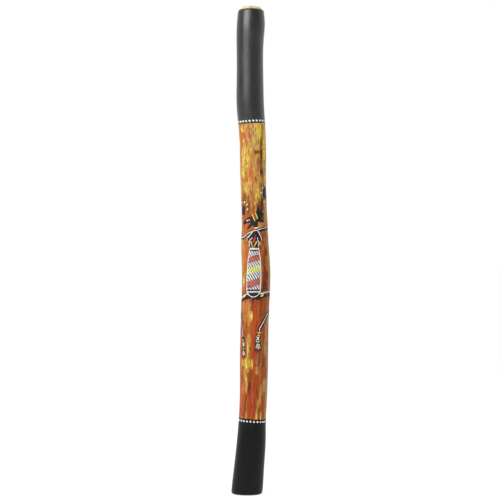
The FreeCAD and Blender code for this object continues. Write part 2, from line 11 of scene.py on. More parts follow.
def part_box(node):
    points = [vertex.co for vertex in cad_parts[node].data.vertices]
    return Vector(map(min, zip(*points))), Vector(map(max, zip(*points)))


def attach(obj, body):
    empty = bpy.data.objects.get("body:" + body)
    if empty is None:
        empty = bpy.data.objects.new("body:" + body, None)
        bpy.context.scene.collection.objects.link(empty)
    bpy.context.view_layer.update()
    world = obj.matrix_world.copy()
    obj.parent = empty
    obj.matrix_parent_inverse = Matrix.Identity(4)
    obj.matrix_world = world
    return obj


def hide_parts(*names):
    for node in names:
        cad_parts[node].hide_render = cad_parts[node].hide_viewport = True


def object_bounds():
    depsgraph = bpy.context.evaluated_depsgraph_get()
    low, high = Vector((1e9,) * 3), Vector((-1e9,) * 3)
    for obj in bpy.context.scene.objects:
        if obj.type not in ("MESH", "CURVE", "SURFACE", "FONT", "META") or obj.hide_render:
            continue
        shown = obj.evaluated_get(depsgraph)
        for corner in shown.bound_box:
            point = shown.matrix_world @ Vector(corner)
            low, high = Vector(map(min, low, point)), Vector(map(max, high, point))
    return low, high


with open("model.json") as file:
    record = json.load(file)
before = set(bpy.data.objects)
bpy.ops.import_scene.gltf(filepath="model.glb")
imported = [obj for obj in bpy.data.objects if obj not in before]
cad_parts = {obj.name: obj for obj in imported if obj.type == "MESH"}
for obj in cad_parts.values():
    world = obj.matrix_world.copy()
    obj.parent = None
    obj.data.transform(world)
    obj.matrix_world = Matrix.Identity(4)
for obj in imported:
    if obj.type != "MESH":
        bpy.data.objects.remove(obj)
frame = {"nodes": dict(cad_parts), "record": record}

# A painted didgeridoo standing on its bell end: the bare log, its three coats of paint, two rings of raised
# dots, a beeswax mouthpiece, and a painted kangaroo. Metres, +Z up, front towards -Y. A place on the skin is
# an azimuth, 0 at the front and positive towards +X, and a height.

MM = 0.001
cad_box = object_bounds()
scene = bpy.context.scene
nodes = frame["nodes"]

# ---------------------------------------------------------------- reading the log's shape from the frame


def joined_tree(names):
    """One ray-casting tree over several nodes."""
    verts, faces = [], []
    for name in names:
        mesh = nodes[name].data
        start = len(verts)
        verts.extend(v.co.copy() for v in mesh.vertices)
        faces.extend([start + i for i in polygon.vertices] for polygon in mesh.polygons)
    return BVHTree.FromPolygons(verts, faces)


COATS = ["mouth_end_black_coat", "brushed_ground_coat", "bell_end_black_coat"]
coat_tree = joined_tree(COATS)
log_tree = joined_tree(["hollow_log"])
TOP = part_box("hollow_log")[1].z
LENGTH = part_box("beeswax_mouthpiece")[1].z
FOOT_ROUND, RIM_ROUND = 5 * MM, 7 * MM
SIDE_LOW, SIDE_HIGH = FOOT_ROUND, TOP - RIM_ROUND  # the plain side; beyond it the ends round over


def outward(azimuth):
    """The level direction away from the log's middle at an azimuth."""
    return Vector((math.sin(azimuth), -math.cos(azimuth), 0))


def crossing(tree, centre, direction, reach=0.2):
    """Distance from a centre out to the surface, met from a point `reach` outside."""
    hit = tree.ray_cast(centre + direction * reach, -direction, 2 * reach)
    return (hit[0] - centre).dot(direction)


def off_centre(tree, here, direction):
    """How far the middle between two opposite sides lies from a point, along a direction."""
    return (crossing(tree, here, direction) - crossing(tree, here, -direction)) / 2


def axis_table():
    """Heights and the log's middle there, halfway between opposite sides."""
    rows = []
    for z in np.linspace(SIDE_LOW, SIDE_HIGH, 90):
        x = off_centre(coat_tree, Vector((0, 0, z)), Vector((1, 0, 0)))
        y = off_centre(coat_tree, Vector((x, 0, z)), Vector((0, 1, 0)))
        rows.append((z, x, y))
    return np.array(rows)


AXIS = axis_table()


def middle(z):
    """The log's middle at a height."""
    return Vector((np.interp(z, AXIS[:, 0], AXIS[:, 1]), np.interp(z, AXIS[:, 0], AXIS[:, 2]), z))


AROUND = 288  # points in a loop round the log
CASTS = 72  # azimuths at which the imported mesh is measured
HARMONICS = 6  # the finest wave round the log that is kept


def smooth_round(values):
    """Keeps the slow changes round the log, drops the facets, and fills in a value for every azimuth."""
    spectrum = np.fft.rfft(values, axis=-1)[..., :HARMONICS + 1]
    return np.fft.irfft(spectrum, n=AROUND, axis=-1) * (AROUND / values.shape[-1])


ROW_WEIGHTS = np.array((1, 4, 6, 4, 1)) / 16


def smooth_along(values):
    """A small blur from row to row, leaving the end rows alone."""
    half = len(ROW_WEIGHTS) // 2
    padded = np.pad(values, [(half, half)] + [(0, 0)] * (values.ndim - 1), mode="edge")
    blurred = sum(weight * padded[i:i + len(values)] for i, weight in enumerate(ROW_WEIGHTS))
    blurred[:half] = values[:half]
    blurred[-half:] = values[-half:]
    return blurred


SKIN_HEIGHTS = np.linspace(SIDE_LOW, SIDE_HIGH, 320)
AZIMUTHS = np.linspace(-math.pi, math.pi, AROUND, endpoint=False)
CAST_AZIMUTHS = AZIMUTHS[::AROUND // CASTS]


def round_table(tree, heights, inside=False):
    """Radius from the log's middle to its side, or to its bore, on a grid of heights and azimuths."""
    rows = []
    for z in heights:
        here = middle(z)
        if inside:
            rows.append([tree.ray_cast(here, outward(a))[3] for a in CAST_AZIMUTHS])
        else:
            rows.append([crossing(tree, here, outward(a)) for a in CAST_AZIMUTHS])
    return smooth_along(smooth_along(smooth_round(np.array(rows))))


SKIN = round_table(coat_tree, SKIN_HEIGHTS)
SKIN_STEP = SKIN_HEIGHTS[1] - SKIN_HEIGHTS[0]
TURN = 2 * math.pi


def skin_radius(azimuth, z):
    """Radius of the painted side at arrays of azimuths and heights, by interpolation."""
    row = np.clip((np.asarray(z) - SKIN_HEIGHTS[0]) / SKIN_STEP, 0, len(SKIN_HEIGHTS) - 1.001)
    col = ((np.asarray(azimuth) + math.pi) % TURN) / TURN * AROUND
    r0, c0 = row.astype(int), col.astype(int) % AROUND
    c1 = (c0 + 1) % AROUND
    fr, fc = row - r0, col - np.floor(col)
    low = SKIN[r0, c0] * (1 - fc) + SKIN[r0, c1] * fc
    high = SKIN[r0 + 1, c0] * (1 - fc) + SKIN[r0 + 1, c1] * fc
    return low * (1 - fr) + high * fr


def place(azimuth, z, radius):
    """Points at arrays of azimuths, heights and radii from the log's middle."""
    azimuth, z, radius = np.broadcast_arrays(azimuth, z, radius)
    x = np.interp(z, AXIS[:, 0], AXIS[:, 1]) + radius * np.sin(azimuth)
    y = np.interp(z, AXIS[:, 0], AXIS[:, 2]) - radius * np.cos(azimuth)
    return np.stack([x, y, z], axis=-1)


def ripple(points, scale, depth=2, seed=0.0, stretch=1.0):
    """Smooth noise in about -1 to 1 at each point; `stretch` above 1 draws it out along the log."""
    flat = np.asarray(points).reshape(-1, 3)
    shift = Vector((seed * 7.3, seed * 3.1, seed * 5.7))
    out = np.empty(len(flat))
    for i, (x, y, z) in enumerate(flat):
        at = Vector((x / scale, y / scale, z / (scale * stretch))) + shift
        out[i] = noise.fractal(at, 1.0, 2.0, depth)
    return out.reshape(np.asarray(points).shape[:-1])


# ---------------------------------------------------------------- mesh helpers


def new_mesh(name, verts, faces, material, smooth=True):
    """A new object from points and faces, in one material."""
    mesh = bpy.data.meshes.new(name)
    mesh.from_pydata([tuple(v) for v in verts], [], [tuple(f) for f in faces])
    mesh.materials.append(material)
    mesh.polygons.foreach_set("use_smooth", [smooth] * len(mesh.polygons))
    mesh.update()
    obj = bpy.data.objects.new(name, mesh)
    scene.collection.objects.link(obj)
    return obj


def ring_shell(name, rows, material):
    """A closed skin from loops of points: rows run up the outside, over, and back down the inside."""
    count, around = rows.shape[:2]
    verts = rows.reshape(-1, 3)
    i = np.arange(count)[:, None]
    j = np.arange(around)[None, :]
    here = i * around + j
    right = i * around + (j + 1) % around
    above = ((i + 1) % count) * around + j
    above_right = ((i + 1) % count) * around + (j + 1) % around
    faces = np.stack([here, right, above_right, above], axis=-1).reshape(-1, 4)
    return new_mesh(name, verts, faces.tolist(), material)


def paint_attribute(obj, name, colours):
    """A colour for each point of a mesh."""
    layer = obj.data.color_attributes.new(name=name, type="FLOAT_COLOR", domain="POINT")
    rgba = np.ones((len(obj.data.vertices), 4), np.float32)
    rgba[:, :3] = colours
    layer.data.foreach_set("color", rgba.ravel())


def piece(obj, slot, *replaced):
    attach(obj, "root")
    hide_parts(*replaced)
    return obj


# ---------------------------------------------------------------- materials


def srgb(r, g, b):
    """Linear colour from everyday 0 to 255 values."""
    def one(c):
        c /= 255
        return c / 12.92 if c <= 0.04045 else ((c + 0.055) / 1.055) ** 2.4
    return (one(r), one(g), one(b), 1)


class Nodes:
    """A short way to write a material's node tree."""

    def __init__(self, name):
        self.material = bpy.data.materials.new(name)
        self.material.use_nodes = True
        self.tree = self.material.node_tree
        self.tree.nodes.clear()
        self.out = self.add("ShaderNodeOutputMaterial")
        self.shader = self.add("ShaderNodeBsdfPrincipled")
        self.link(self.shader.outputs["BSDF"], self.out.inputs["Surface"])
        self.place = self.add("ShaderNodeTexCoord").outputs["Object"]

    def add(self, kind, **settings):
        node = self.tree.nodes.new(kind)
        for key, value in settings.items():
            setattr(node, key, value)
        return node

    def link(self, a, b):
        self.tree.links.new(a, b)

    def put(self, socket, value):
        """Links another node's output to a socket, or sets the socket to a plain value."""
        if hasattr(value, "links"):
            self.link(value, socket)
        else:
            socket.default_value = value

    def scaled(self, x, y, z):
        """The place on the object, stretched along each axis."""
        node = self.add("ShaderNodeMapping")
        self.link(self.place, node.inputs["Vector"])
        node.inputs["Scale"].default_value = (x, y, z)
        return node.outputs["Vector"]

    def noise(self, vector, scale, detail=3.0, rough=0.5, warp=0.0):
        node = self.add("ShaderNodeTexNoise")
        self.put(node.inputs["Vector"], vector)
        node.inputs["Scale"].default_value = scale
        node.inputs["Detail"].default_value = detail
        node.inputs["Roughness"].default_value = rough
        node.inputs["Distortion"].default_value = warp
        return node.outputs["Fac"]

    def ramp(self, value, *stops):
        """A colour ramp: stops are (position, colour)."""
        node = self.add("ShaderNodeValToRGB")
        self.put(node.inputs["Fac"], value)
        elements = node.color_ramp.elements
        while len(elements) < len(stops):
            elements.new(0.5)
        for element, (position, colour) in zip(elements, stops):
            element.position = position
            element.color = colour
        return node.outputs["Color"]

    def range(self, value, low, high, to_low, to_high):
        """A value carried from one span to another, and held at its ends."""
        node = self.add("ShaderNodeMapRange")
        for socket, number in zip(node.inputs, (value, low, high, to_low, to_high)):
            self.put(socket, number)
        return node.outputs["Result"]

    def mix(self, factor, a, b):
        """Colour a turning into colour b as the factor goes from 0 to 1."""
        node = self.add("ShaderNodeMix", data_type="RGBA")
        self.put(node.inputs["Factor"], factor)
        self.put(node.inputs[6], a)
        self.put(node.inputs[7], b)
        return node.outputs[2]

    def math(self, operation, a, b=0.0):
        node = self.add("ShaderNodeMath", operation=operation)
        self.put(node.inputs[0], a)
        self.put(node.inputs[1], b)
        return node.outputs[0]

    def bump(self, height, distance, strength=1.0, normal=None):
        node = self.add("ShaderNodeBump")
        self.put(node.inputs["Height"], height)
        node.inputs["Distance"].default_value = distance
        node.inputs["Strength"].default_value = strength
        if normal is not None:
            self.link(normal, node.inputs["Normal"])
        return node.outputs["Normal"]

    def finish(self, colour, roughness, normal=None, **fixed):
        self.put(self.shader.inputs["Base Color"], colour)
        self.put(self.shader.inputs["Roughness"], roughness)
        if normal is not None:
            self.link(normal, self.shader.inputs["Normal"])
        for name, value in fixed.items():
            self.shader.inputs[name.replace("_", " ")].default_value = value
        return self.material


def grey(v):
    return (v, v, v, 1)


def black_paint(name, rough_level, gloss):
    """Satin black acrylic: faint brush marks along the log, slight greying where it is handled."""
    n = Nodes(name)
    long_marks = n.noise(n.scaled(260, 260, 18), 1.0, 4, 0.6, 0.2)
    cloud = n.noise(n.scaled(22, 22, 9), 1.0, 3, 0.55)
    fine = n.noise(n.scaled(900, 900, 500), 1.0, 2, 0.5)
    base = n.ramp(cloud, (0.3, srgb(14, 14, 15)), (0.7, srgb(24, 23, 25)))
    colour = n.mix(n.range(long_marks, 0.45, 0.75, 0.0, 0.35), base, srgb(38, 37, 39))
    handled = n.range(cloud, 0.3, 0.7, rough_level - 0.05, rough_level + 0.06)
    rough = n.math("ADD", handled, n.range(long_marks, 0.3, 0.7, -0.04, 0.05))
    normal = n.bump(long_marks, 0.00025, 0.55)
    normal = n.bump(fine, 0.00006, 0.3, normal)
    return n.finish(colour, rough, normal, Specular_IOR_Level=gloss)


def ground_paint():
    """Brushed ground: strokes of colour, dragged on dry so that dark underpaint shows in the gaps."""
    n = Nodes("ground_paint")
    patches = n.add("ShaderNodeAttribute", attribute_name="patches").outputs["Color"]
    split = n.add("ShaderNodeSeparateColor")
    n.link(patches, split.inputs[0])
    paleness = n.range(split.outputs["Green"], 0.06, 0.45, 0.25, 1.0)
    bristle = n.noise(n.scaled(620, 620, 42), 1.0, 4, 0.62, 0.3)
    blotch = n.noise(n.scaled(300, 300, 120), 1.0, 4, 0.7, 0.8)
    drag = n.noise(n.scaled(150, 150, 16), 1.0, 4, 0.6, 0.6)
    speck = n.noise(n.scaled(760, 760, 420), 1.0, 3, 0.6)
    under = n.ramp(drag, (0.35, srgb(86, 34, 16)), (0.6, srgb(132, 70, 24)))
    dry = n.math("ADD", n.math("MULTIPLY", bristle, 0.45), n.math("MULTIPLY", blotch, 0.55))
    gaps = n.math("MULTIPLY", n.range(dry, 0.43, 0.52, 0.85, 0.0), paleness)
    wet = n.mix(n.range(drag, 0.5, 0.68, 0.0, 0.25), patches, srgb(206, 142, 54))
    colour = n.mix(gaps, wet, under)
    colour = n.mix(n.range(bristle, 0.26, 0.42, 0.55, 0.0), colour, srgb(84, 34, 18))
    flecks = n.math("MULTIPLY", n.range(speck, 0.58, 0.72, 0.0, 0.6), paleness)
    colour = n.mix(flecks, colour, srgb(238, 206, 112))
    rough = n.range(bristle, 0.3, 0.7, 0.4, 0.56)
    normal = n.bump(bristle, 0.0003, 0.6)
    normal = n.bump(blotch, 0.0004, 0.4, normal)
    return n.finish(colour, rough, normal, Specular_IOR_Level=0.12)


def thick_paint(name, low, high, roughness=0.45):
    """Opaque craft acrylic, a little uneven in tone and in thickness."""
    n = Nodes(name)
    tone = n.noise(n.scaled(220, 220, 220), 1.0, 3, 0.55)
    fine = n.noise(n.scaled(880, 880, 440), 1.0, 3, 0.6)
    colour = n.ramp(tone, (0.3, low), (0.68, high))
    rough = n.range(fine, 0.3, 0.7, roughness - 0.06, roughness + 0.1)
    normal = n.bump(tone, 0.0004, 0.5)
    normal = n.bump(fine, 0.00008, 0.5, normal)
    return n.finish(colour, rough, normal, Specular_IOR_Level=0.25)


PLAIN_STRIP = 5 * MM  # left without lines at the foot and the head of a hatched node
SOFT_EDGE = 0.06  # how softly a brush line ends sideways, as a share of the pitch


def hatched_paint(name, node, low, high, line, turn, pitch, share):
    """Paint crossed by fine parallel brush lines that take up a share of their pitch."""
    n = Nodes(name)
    foot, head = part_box(node)
    bottom, top = foot.z + PLAIN_STRIP, head.z - PLAIN_STRIP
    tone = n.noise(n.scaled(200, 200, 200), 1.0, 3, 0.5)
    wobble = n.noise(n.scaled(90, 90, 90), 1.0, 2, 0.5)
    split = n.add("ShaderNodeSeparateXYZ")
    n.link(n.place, split.inputs[0])
    sideways = n.math("MULTIPLY", split.outputs["X"], math.cos(turn))
    across = n.math("ADD", sideways, n.math("MULTIPLY", split.outputs["Z"], math.sin(turn)))
    across = n.math("ADD", n.math("DIVIDE", across, pitch), n.math("MULTIPLY", wobble, 0.7))
    phase = n.math("ABSOLUTE", n.math("SUBTRACT", n.math("FRACT", across), 0.5))
    above_foot = n.range(split.outputs["Z"], bottom, bottom + MM, 0.0, 1.0)
    below_head = n.range(split.outputs["Z"], top - MM, top, 1.0, 0.0)
    lined = n.range(phase, share / 2 - SOFT_EDGE, share / 2 + SOFT_EDGE, 1.0, 0.0)
    stripe = n.math("MULTIPLY", lined, n.math("MULTIPLY", above_foot, below_head))
    base = n.ramp(tone, (0.3, low), (0.7, high))
    colour = n.mix(stripe, base, line)
    normal = n.bump(stripe, 0.00022, 0.7)
    normal = n.bump(tone, 0.0003, 0.4, normal)
    return n.finish(colour, n.range(tone, 0.3, 0.7, 0.42, 0.55), normal, Specular_IOR_Level=0.5)


def beeswax():
    """Hand-worked beeswax: cloudy, softly translucent, thumbed smooth in places."""
    n = Nodes("beeswax")
    cloud = n.noise(n.scaled(60, 60, 60), 1.0, 4, 0.55)
    fine = n.noise(n.scaled(420, 420, 420), 1.0, 3, 0.6)
    colour = n.ramp(
        cloud, (0.28, srgb(205, 172, 112)), (0.5, srgb(222, 196, 140)), (0.74, srgb(236, 216, 170))
    )
    colour = n.mix(n.range(fine, 0.6, 0.8, 0.0, 0.3), colour, srgb(168, 128, 72))
    normal = n.bump(cloud, 0.0012, 0.4)
    normal = n.bump(fine, 0.0002, 0.4, normal)
    material = n.finish(colour, n.range(cloud, 0.3, 0.7, 0.38, 0.52), normal, Specular_IOR_Level=0.5)
    n.shader.inputs["Subsurface Weight"].default_value = 0.35
    n.shader.inputs["Subsurface Radius"].default_value = (1.0, 0.6, 0.3)
    n.shader.inputs["Subsurface Scale"].default_value = 0.003
    return material


def raw_wood():
    """Bare eucalyptus: growth rings and fine checks on the cut foot, a rough dark bore."""
    n = Nodes("raw_wood")
    rings = n.noise(n.scaled(26, 26, 4), 1.0, 2, 0.5, 1.5)
    ring_lines = n.math("FRACT", n.math("MULTIPLY", rings, 22.0))
    fibre = n.noise(n.scaled(520, 520, 40), 1.0, 4, 0.65)
    stain = n.noise(n.scaled(30, 30, 12), 1.0, 4, 0.6)
    wood = n.ramp(ring_lines, (0.0, srgb(150, 104, 62)), (0.55, srgb(182, 134, 86)), (1.0, srgb(132, 86, 50)))
    wood = n.mix(n.range(fibre, 0.4, 0.65, 0.0, 0.45), wood, srgb(96, 62, 38))
    wood = n.mix(n.range(stain, 0.5, 0.7, 0.0, 0.5), wood, srgb(84, 60, 42))
    normal = n.bump(fibre, 0.0005, 0.6)
    normal = n.bump(stain, 0.0012, 0.4, normal)
    return n.finish(wood, n.range(fibre, 0.3, 0.7, 0.62, 0.82), normal, Specular_IOR_Level=0.3)


MOUTH_BLACK = black_paint("mouth_black_paint", 0.37, 0.8)
BELL_BLACK = black_paint("bell_black_paint", 0.42, 0.15)
GROUND = ground_paint()
WHITE = thick_paint("white_paint", srgb(214, 213, 206), srgb(246, 246, 241))
FIGURE_BLACK = thick_paint("figure_black_paint", srgb(24, 20, 22), srgb(38, 33, 35), 0.5)
YELLOW = thick_paint("yellow_paint", srgb(206, 196, 62), srgb(232, 226, 104))
RED = thick_paint("red_paint", srgb(160, 50, 26), srgb(196, 74, 40))
HATCH_TURN = math.radians(35)
CREAM_HATCH = hatched_paint(
    "cream_hatched_paint", "kangaroo_body_cream_bands", srgb(192, 195, 194), srgb(216, 218, 216),
    srgb(52, 50, 56), HATCH_TURN, 5.4 * MM, 0.4,
)
RED_HATCH = hatched_paint(
    "red_hatched_paint", "kangaroo_body_red_bands", srgb(124, 38, 32), srgb(152, 54, 45), srgb(224, 154, 134),
    HATCH_TURN, 5.0 * MM, 0.22,
)
YELLOW_HATCH = hatched_paint(
    "yellow_hatched_paint", "kangaroo_body_yellow_band", srgb(204, 208, 100), srgb(222, 224, 122),
    srgb(118, 122, 50), -HATCH_TURN, 5.0 * MM, 0.3,
)
WAX = beeswax()
WOOD = raw_wood()

# ---------------------------------------------------------------- the painted side


def relief(points):
    """How far the carved, sanded side stands above its smooth shape: slow flats and hollows, never a bump."""
    slow = ripple(points, 0.05, 2, 1.0, 2.4)
    quick = ripple(points, 0.014, 2, 2.0, 2.0)
    return (-0.22 + 0.42 * slow + 0.1 * quick) * MM


def skin(azimuth, z, lift=0.0):
    """Points on the painted side, or `lift` above it."""
    base = skin_radius(azimuth, z)
    return place(azimuth, z, base + relief(place(azimuth, z, base)) + lift)


END_REACH = 40 * MM  # rays that feel for a rounded end start this far out


def round_over(tree, height, pivot_radius, slopes, lift=0.0):
    """Loops over a rounded end, met by rays that fan out from a circle inside it, and those rays."""
    centre = middle(height)
    inner = np.array([pivot_radius(crossing(tree, centre, outward(a))) for a in CAST_AZIMUTHS])
    reach, rays = [], []
    for slope in slopes:
        level, rise = math.cos(slope), math.sin(slope)
        reach.append([
            crossing(tree, centre + outward(a) * r, outward(a) * level + Vector((0, 0, rise)), END_REACH)
            for a, r in zip(CAST_AZIMUTHS, inner)
        ])
        rays.append([tuple(outward(a) * level + Vector((0, 0, rise))) for a in AZIMUTHS])
    rays = np.array(rays)
    sideways = np.array([tuple(outward(a)) for a in AZIMUTHS])
    pivots = np.array(centre) + sideways * smooth_round(inner)[:, None]
    points = pivots + rays * smooth_round(np.array(reach))[..., None]
    return points + rays * (relief(points) + lift)[..., None], rays


def level_rays(rows):
    """Outward directions for loops of points up the side."""
    one = np.stack([np.sin(AZIMUTHS), -np.cos(AZIMUTHS), np.zeros(AROUND)], axis=-1)
    return np.repeat(one[None], rows, axis=0)


def edge_line(name, lowest):
    """The slanting end of a coat as height = middle + slope * x, read from its mesh."""
    points = np.array([tuple(v.co) for v in nodes[name].data.vertices])
    turn = np.arctan2(points[:, 0] - middle(points[0, 2]).x, -points[:, 1])
    picked = []
    for a in np.linspace(-math.pi, math.pi, 24, endpoint=False):
        near = points[np.abs((turn - a + math.pi) % TURN - math.pi) < 0.15]
        picked.append(near[near[:, 2].argmin() if lowest else near[:, 2].argmax()])
    picked = np.array(picked)
    slope, height = np.polyfit(picked[:, 0], picked[:, 2], 1)
    return height, slope


def brushed_edge(name, lowest, seed):
    """Height of a coat's end at each azimuth, wandering a little as a hand-painted edge does."""
    height, slope = edge_line(name, lowest)
    around = height + slope * skin_radius(AZIMUTHS, np.full(AROUND, height)) * np.sin(AZIMUTHS)
    loop = np.stack([np.sin(AZIMUTHS), np.cos(AZIMUTHS), np.full(AROUND, seed)], axis=-1)
    return around + 0.6 * MM * ripple(loop, 0.35, 2, seed) + 0.25 * MM * ripple(loop, 0.07, 2, seed)


UPPER_EDGE = brushed_edge("mouth_end_black_coat", True, 3.0)
LOWER_EDGE = brushed_edge("bell_end_black_coat", False, 4.0)
COAT = 0.4 * MM  # thickness of a coat
LIP = 0.14 * MM  # how far a black coat's edge stands over the ground


def closed_coat(name, outer, rays, material, coarse=24):
    """A coat of paint: its outside loops, and a coarser inside the coat's thickness below."""
    back = list(range(len(outer) - 1, 0, -coarse)) + [0]
    inner = np.array([outer[i] - rays[i] * COAT for i in back])
    return ring_shell(name, np.concatenate([outer, inner]), material)


def lip(distance):
    """Lift of black paint near its edge, where it ends in a rounded lip over the ground."""
    rise = np.clip(distance / (0.5 * MM), 0, 1)
    fade = np.exp(-distance / (3.5 * MM))
    return LIP * fade * rise - 0.3 * MM * (1 - rise) ** 2


def side_loops(start, end, rows, lip_at_start=False, lip_at_end=False):
    """Loops up the side between two edges; black paint's lipped edges get closer loops."""
    share = np.linspace(0, 1, rows)
    near = np.array([0, 0.2, 0.5, 1.0, 1.8]) * MM
    heights = [start + (end - start) * s for s in share]
    if lip_at_start:
        heights = [start + d for d in near] + [h for h in heights[1:] if (h - start).min() > 2.5 * MM]
    if lip_at_end:
        heights = [h for h in heights[:-1] if (end - h).min() > 2.5 * MM] + [end - d for d in near[::-1]]
    heights = np.array(heights)
    lift = np.zeros_like(heights)
    if lip_at_start:
        lift += lip(heights - start)
    if lip_at_end:
        lift += lip(end - heights)
    return skin(AZIMUTHS[None], heights, lift), level_rays(len(heights))


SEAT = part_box("beeswax_mouthpiece")[1].x  # outer radius of the beeswax on the rim


def mouth_coat():
    """Black over the mouth end and its rim, tucked in under the beeswax."""
    side, side_rays = side_loops(UPPER_EDGE, SIDE_HIGH, 230, lip_at_start=True)
    slopes = np.radians(np.linspace(0, 90, 26))[1:]
    end, end_rays = round_over(coat_tree, SIDE_HIGH, lambda reach: SEAT + 0.3 * MM, slopes)
    tuck = end[-1] * [0.96, 0.96, 1]
    outer = np.concatenate([side, end, tuck[None]])
    rays = np.concatenate([side_rays, end_rays, end_rays[-1:]])
    obj = closed_coat("mouth_black", outer, rays, MOUTH_BLACK)
    return piece(obj, "black_paint", "mouth_end_black_coat")


def bell_coat():
    """Black over the bell end, stopping where the foot turns level."""
    side, side_rays = side_loops(SIDE_LOW, LOWER_EDGE, 180, lip_at_end=True)
    slopes = -np.radians(np.linspace(51, 0, 12))[:-1]
    end, end_rays = round_over(coat_tree, SIDE_LOW, lambda reach: reach - FOOT_ROUND, slopes)
    outer, rays = np.concatenate([end, side]), np.concatenate([end_rays, side_rays])
    obj = closed_coat("bell_black", outer, rays, BELL_BLACK)
    return piece(obj, "black_paint", "bell_end_black_coat")


# ---------------------------------------------------------------- the brushed ground

YELLOW_TONE = srgb(228, 204, 84)
STRAW = srgb(212, 180, 98)
OCHRE = srgb(196, 150, 76)
OCHRE_BROWN = srgb(160, 108, 36)
ORANGE = srgb(186, 114, 54)
ORANGE_RED = srgb(178, 84, 40)
CLAY = srgb(190, 88, 54)
ROSE = srgb(180, 98, 74)
CLAY_BROWN = srgb(150, 76, 36)
RED_TONE = srgb(164, 60, 28)
BROWN = srgb(116, 62, 22)
MAROON = srgb(92, 36, 18)
# Pale tan, laid mostly down the side edges: a painted reflection of the white studio where the side turns
# away, not a paint colour there.
TAN_AND_EDGE_REFLECTION = srgb(176, 144, 98)

# Broad brush strokes in the order they were laid: azimuth and height of the middle, half width and half
# height, in degrees and millimetres. The first five go right round the log.
STROKES = [
    (OCHRE, [(0, 860, 180, 90), (0, 730, 180, 60)]),
    (ORANGE_RED, [(0, 620, 180, 80)]),
    (BROWN, [(0, 500, 180, 60)]),
    (RED_TONE, [(0, 330, 180, 150)]),
    (BROWN, [
        (40, 855, 9, 20), (39, 806, 8, 28), (45, 760, 12, 20), (-30, 712, 34, 26), (30, 700, 26, 30),
        (17, 841, 12, 4), (11, 774, 5, 7), (43, 623, 16, 26), (33, 573, 9, 17), (-13, 472, 7, 10),
        (30, 456, 13, 17), (32, 332, 16, 20), (-14, 292, 8, 18), (-31, 229, 6, 30), (26, 201, 5, 17),
        (-160, 740, 14, 90), (120, 590, 18, 80), (-110, 470, 16, 70), (165, 290, 20, 70),
    ]),
    (MAROON, [
        (41, 838, 10, 14), (43, 790, 9, 14), (40, 728, 7, 32), (44, 604, 12, 18), (37, 533, 15, 32),
        (50, 503, 26, 5), (-72, 438, 8, 38), (-19, 260, 8, 16),
    ]),
    (CLAY_BROWN, [
        (-48, 733, 8, 15), (-13, 725, 6, 34), (43, 473, 14, 11), (36, 362, 12, 14), (25, 306, 9, 24),
        (44, 242, 10, 13), (47, 199, 8, 13),
    ]),
    (OCHRE_BROWN, [
        (50, 904, 6, 7), (43, 883, 4, 14), (57, 570, 16, 18), (-28, 395, 8, 22), (-19, 335, 6, 20),
        (-37, 284, 13, 13), (42, 268, 26, 16),
    ]),
    (RED_TONE, [
        (22, 588, 7, 24), (22, 538, 4, 30), (12, 471, 18, 12), (5, 406, 11, 62), (37, 393, 11, 20),
        (-5, 359, 10, 30), (3, 297, 10, 28), (-6, 218, 18, 34), (2, 260, 11, 20), (-105, 250, 18, 50),
    ]),
    (ORANGE_RED, [
        (-52, 882, 26, 30), (-43, 685, 16, 14), (2, 699, 6, 7), (-47, 649, 14, 14), (-13, 657, 9, 9),
        (-33, 606, 11, 26), (-45, 420, 11, 18),
    ]),
    (ORANGE, [
        (-66, 850, 12, 60), (-33, 785, 5, 9), (-31, 735, 5, 7), (43, 664, 13, 7), (-50, 600, 7, 30),
        (-50, 570, 9, 22), (-72, 517, 7, 20), (-48, 470, 28, 12), (-47, 448, 16, 24), (-66, 320, 13, 16),
        (-49, 257, 8, 15), (-130, 845, 24, 60), (-170, 420, 18, 80),
    ]),
    (CLAY, [
        (-35, 880, 12, 30), (-8, 831, 10, 8), (-8, 806, 6, 20), (-10, 785, 8, 16), (-43, 771, 10, 9),
        (-64, 222, 14, 36), (140, 700, 20, 70), (-150, 560, 20, 90), (130, 235, 22, 40),
    ]),
    (ROSE, [(-6, 896, 16, 20), (21, 812, 7, 16), (-5, 738, 4, 22), (-70, 285, 8, 30)]),
    (OCHRE, [
        (21, 664, 6, 11), (-67, 613, 12, 15), (-68, 588, 11, 38), (-60, 530, 11, 26), (-25, 441, 6, 30),
        (-21, 377, 6, 15), (-38, 304, 14, 11), (-31, 268, 6, 17), (11, 305, 6, 8), (50, 269, 15, 12),
        (28, 249, 6, 24), (21, 224, 5, 9), (120, 850, 26, 56), (-115, 690, 20, 80), (150, 480, 22, 70),
        (-130, 330, 22, 70),
    ]),
    # Tan strokes at about 62 to 70 degrees either side are a painted reflection down the grazing edges; the
    # small one at 11 degrees is tan paint.
    (TAN_AND_EDGE_REFLECTION, [
        (64, 688, 15, 36), (-70, 658, 9, 32), (68, 624, 11, 28), (69, 577, 10, 48), (66, 516, 13, 18),
        (63, 418, 16, 36), (62, 349, 15, 38), (11, 336, 4, 14), (67, 247, 12, 62),
    ]),
    (STRAW, [(17, 864, 13, 14), (-7, 848, 6, 13), (-30, 748, 8, 14)]),
    (YELLOW_TONE, [
        (-47, 885, 7, 19), (28, 895, 18, 24), (-45, 832, 10, 22), (-26, 817, 10, 16), (-49, 795, 11, 14),
        (18, 730, 8, 11), (20, 747, 4, 6), (-60, 527, 6, 11), (-16, 439, 6, 11), (-26, 354, 4, 17),
        (-36, 324, 18, 12), (-8, 323, 4, 10), (-34, 288, 6, 9), (16, 198, 4, 15), (34, 193, 4, 10),
        (165, 800, 18, 90), (178, 640, 22, 50), (64, 840, 15, 72), (115, 370, 20, 60), (-165, 225, 22, 34),
    ]),
]
TONES = [OCHRE, ORANGE, ORANGE_RED, CLAY_BROWN, RED_TONE, RED_TONE, BROWN, MAROON]
